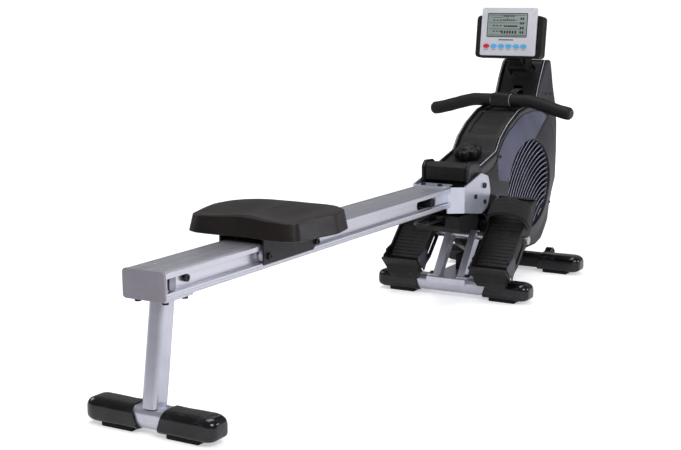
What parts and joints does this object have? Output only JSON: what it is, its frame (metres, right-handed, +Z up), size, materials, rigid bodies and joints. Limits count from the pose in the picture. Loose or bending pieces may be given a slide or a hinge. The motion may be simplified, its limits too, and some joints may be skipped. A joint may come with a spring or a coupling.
{
  "type": "rowing machine",
  "caption": "Folding magnetic rowing machine: sliding seat on an aluminium rail, flywheel housing with grille, pull handle, rocking pedals, display console and end-capped feet.",
  "frame": {"origin": "on the floor under the middle of the machine, on its centre plane", "axes": "+X forwards from the seat to the flywheel housing, +Y to the left of a seated rower, +Z up"},
  "size_m": [2.0908, 0.488, 0.8352],
  "materials": {
    "rail_aluminium": "satin anodised, fine drawn lines",
    "silver_paint": "satin silver powder coat",
    "bracket_steel": "satin zinc-bright",
    "frame_black": "satin black powder coat",
    "carriage_grey": "dark grey powder coat",
    "bolt_black": "black oxide",
    "axle_steel": "turned steel",
    "cap_black": "glossy moulded",
    "panel_charcoal": "satin moulded, blue-grey sheen",
    "spine_black": "fine grain moulded",
    "end_grey": "moulded",
    "fascia_silver": "satin silver",
    "lens_clear": "clear display window",
    "button_blue": "moulded",
    "button_red": "moulded",
    "seat_foam": "moulded foam skin",
    "grip_foam": "foam sleeve",
    "strap_webbing": "woven webbing",
    "pedal_black": "moulded",
    "pad_rubber": "ribbed",
    "roller_nylon": "turned nylon",
    "knob_black": "moulded",
    "pan_board": "black board",
    "belt_rubber": "ribbed belt",
    "cast_wheel": "turned rim",
    "wheel_black": "moulded"
  },
  "bodies": {
    "rail": {"rail": "rail_aluminium", "rail_end_cap": "end_grey", "rear_post": "silver_paint", "rear_stabilizer_tube": "silver_paint", "rear_end_caps": "cap_black", "rear_foot_pads": "pad_rubber", "rail_fasteners": "bolt_black", "seat_stops": "pad_rubber", "bracket_plates": "bracket_steel"},
    "carriage": {"carriage_frame": "carriage_grey", "carriage_fasteners": "bolt_black", "seat_pan": "pan_board", "seat_cushion": "seat_foam"},
    "frame": {"front_stabilizer_tubes": "silver_paint", "front_end_caps": "cap_black", "front_foot_pads": "pad_rubber", "base_plate": "silver_paint", "main_frame": "frame_black", "pedal_legs": "silver_paint", "pedal_axle": "axle_steel", "frame_fasteners": "bolt_black", "fold_pivot_bolt": "bolt_black", "wheel_brackets": "frame_black", "housing_right": "panel_charcoal", "housing_left": "panel_charcoal", "spine_cover": "spine_black", "nose_cover": "spine_black", "belly_cover": "spine_black", "side_grilles": "panel_charcoal", "drive_belt": "belt_rubber", "rewind_cassette": "spine_black", "handle_strap": "strap_webbing"},
    "flywheel": {"flywheel": "cast_wheel"},
    "strap_drum": {"strap_drum": "spine_black"},
    "magnet_arm": {"magnet_arm": "axle_steel"},
    "tension_knob": {"tension_knob": "knob_black"},
    "handle": {"handlebar": "axle_steel", "handle_grips": "grip_foam", "handle_block": "spine_black"},
    "console": {"console_neck": "spine_black", "console_back": "spine_black", "console_fascia": "fascia_silver", "console_lens": "lens_clear"},
    "right_pedal": {"footplate_right": "pedal_black", "foot_strap_right": "strap_webbing"},
    "left_pedal": {"footplate_left": "pedal_black", "foot_strap_left": "strap_webbing"},
    "lock_lever": {"lock_lever": "frame_black"},
    "transport_wheel_left": {"transport_wheel_left": "wheel_black"},
    "transport_wheel_right": {"transport_wheel_right": "wheel_black"},
    "roller_rear_left": {"roller_rear_left": "roller_nylon"},
    "roller_rear_right": {"roller_rear_right": "roller_nylon"},
    "roller_front_left": {"roller_front_left": "roller_nylon"},
    "roller_front_right": {"roller_front_right": "roller_nylon"},
    "console_button_1": {"console_button_1": "button_red"},
    "console_button_2": {"console_button_2": "button_blue"},
    "console_button_3": {"console_button_3": "button_blue"},
    "console_button_4": {"console_button_4": "button_blue"},
    "console_button_5": {"console_button_5": "button_blue"},
    "console_button_6": {"console_button_6": "button_blue"}
  },
  "joints": [
    {"name": "rail_fold", "type": "hinge", "parent": "frame", "child": "rail", "pos_m": [0.41956, 0, 0.331], "axis": [0, -1, 0], "range_deg": [-80, 0]},
    {"name": "seat_slide", "type": "slide", "parent": "rail", "child": "carriage", "axis": [1, 0, 0], "range_m": [-0.25, 0.585]},
    {"name": "handle_pull", "type": "slide", "parent": "frame", "child": "handle", "axis": [-1, 0, 0], "range_m": [0, 1]},
    {"name": "drum_spin", "type": "hinge", "parent": "frame", "child": "strap_drum", "pos_m": [0.60956, 0, 0.412], "axis": [0, 1, 0], "range_deg": [-5, 2392]},
    {"name": "flywheel_spin", "type": "hinge", "parent": "frame", "child": "flywheel", "pos_m": [0.73556, 0, 0.288], "axis": [0, 1, 0], "continuous": true},
    {"name": "tension_turn", "type": "hinge", "parent": "frame", "child": "tension_knob", "pos_m": [0.48456, 0, 0.406], "axis": [-0.2723, 0, 0.9622], "range_deg": [0, 280]},
    {"name": "magnet_swing", "type": "hinge", "parent": "frame", "child": "magnet_arm", "pos_m": [0.62556, 0, 0.222], "axis": [0, -1, 0], "range_deg": [-0.5, 7.5]},
    {"name": "console_tilt", "type": "hinge", "parent": "frame", "child": "console", "pos_m": [0.85956, 0, 0.66], "axis": [0, 1, 0], "range_deg": [-10, 8]},
    {"name": "right_pedal_rock", "type": "hinge", "parent": "frame", "child": "right_pedal", "pos_m": [0.45256, 0, 0.174], "axis": [0, 1, 0], "range_deg": [0, 25]},
    {"name": "left_pedal_rock", "type": "hinge", "parent": "frame", "child": "left_pedal", "pos_m": [0.45256, 0, 0.174], "axis": [0, 1, 0], "range_deg": [0, 25]},
    {"name": "lever_pull", "type": "hinge", "parent": "frame", "child": "lock_lever", "pos_m": [0.30756, 0, 0.248], "axis": [0, -1, 0], "range_deg": [0, 12], "stiffness_Nm_per_rad": 0.8, "springref_deg": -8.59},
    {"name": "left_wheel_roll", "type": "hinge", "parent": "frame", "child": "transport_wheel_left", "pos_m": [0.90356, 0, 0.046], "axis": [0, 1, 0], "continuous": true},
    {"name": "right_wheel_roll", "type": "hinge", "parent": "frame", "child": "transport_wheel_right", "pos_m": [0.90356, 0, 0.046], "axis": [0, 1, 0], "continuous": true},
    {"name": "roller_rear_left_roll", "type": "hinge", "parent": "carriage", "child": "roller_rear_left", "pos_m": [-0.67644, 0, 0.315], "axis": [0, 1, 0], "range_deg": [-993, 2317]},
    {"name": "roller_rear_right_roll", "type": "hinge", "parent": "carriage", "child": "roller_rear_right", "pos_m": [-0.67644, 0, 0.315], "axis": [0, 1, 0], "range_deg": [-993, 2317]},
    {"name": "roller_front_left_roll", "type": "hinge", "parent": "carriage", "child": "roller_front_left", "pos_m": [-0.47744, 0, 0.315], "axis": [0, 1, 0], "range_deg": [-993, 2317]},
    {"name": "roller_front_right_roll", "type": "hinge", "parent": "carriage", "child": "roller_front_right", "pos_m": [-0.47744, 0, 0.315], "axis": [0, 1, 0], "range_deg": [-993, 2317]},
    {"name": "button_1_press", "type": "slide", "parent": "console", "child": "console_button_1", "axis": [0.9903, 0, -0.1392], "range_m": [0, 0.0015], "stiffness_N_per_m": 300, "springref_m": -0.001},
    {"name": "button_2_press", "type": "slide", "parent": "console", "child": "console_button_2", "axis": [0.9903, 0, -0.1392], "range_m": [0, 0.0015], "stiffness_N_per_m": 300, "springref_m": -0.001},
    {"name": "button_3_press", "type": "slide", "parent": "console", "child": "console_button_3", "axis": [0.9903, 0, -0.1392], "range_m": [0, 0.0015], "stiffness_N_per_m": 300, "springref_m": -0.001},
    {"name": "button_4_press", "type": "slide", "parent": "console", "child": "console_button_4", "axis": [0.9903, 0, -0.1392], "range_m": [0, 0.0015], "stiffness_N_per_m": 300, "springref_m": -0.001},
    {"name": "button_5_press", "type": "slide", "parent": "console", "child": "console_button_5", "axis": [0.9903, 0, -0.1392], "range_m": [0, 0.0015], "stiffness_N_per_m": 300, "springref_m": -0.001},
    {"name": "button_6_press", "type": "slide", "parent": "console", "child": "console_button_6", "axis": [0.9903, 0, -0.1392], "range_m": [0, 0.0015], "stiffness_N_per_m": 300, "springref_m": -0.001}
  ],
  "couplings": [
    {"joint": "drum_spin", "follows": "handle_pull", "rad_per_m": 41.667},
    {"joint": "magnet_swing", "follows": "tension_turn", "ratio": 0.025},
    {"joint": "roller_rear_left_roll", "follows": "seat_slide", "rad_per_m": 68.966},
    {"joint": "roller_rear_right_roll", "follows": "seat_slide", "rad_per_m": 68.966},
    {"joint": "roller_front_left_roll", "follows": "seat_slide", "rad_per_m": 68.966},
    {"joint": "roller_front_right_roll", "follows": "seat_slide", "rad_per_m": 68.966}
  ]
}
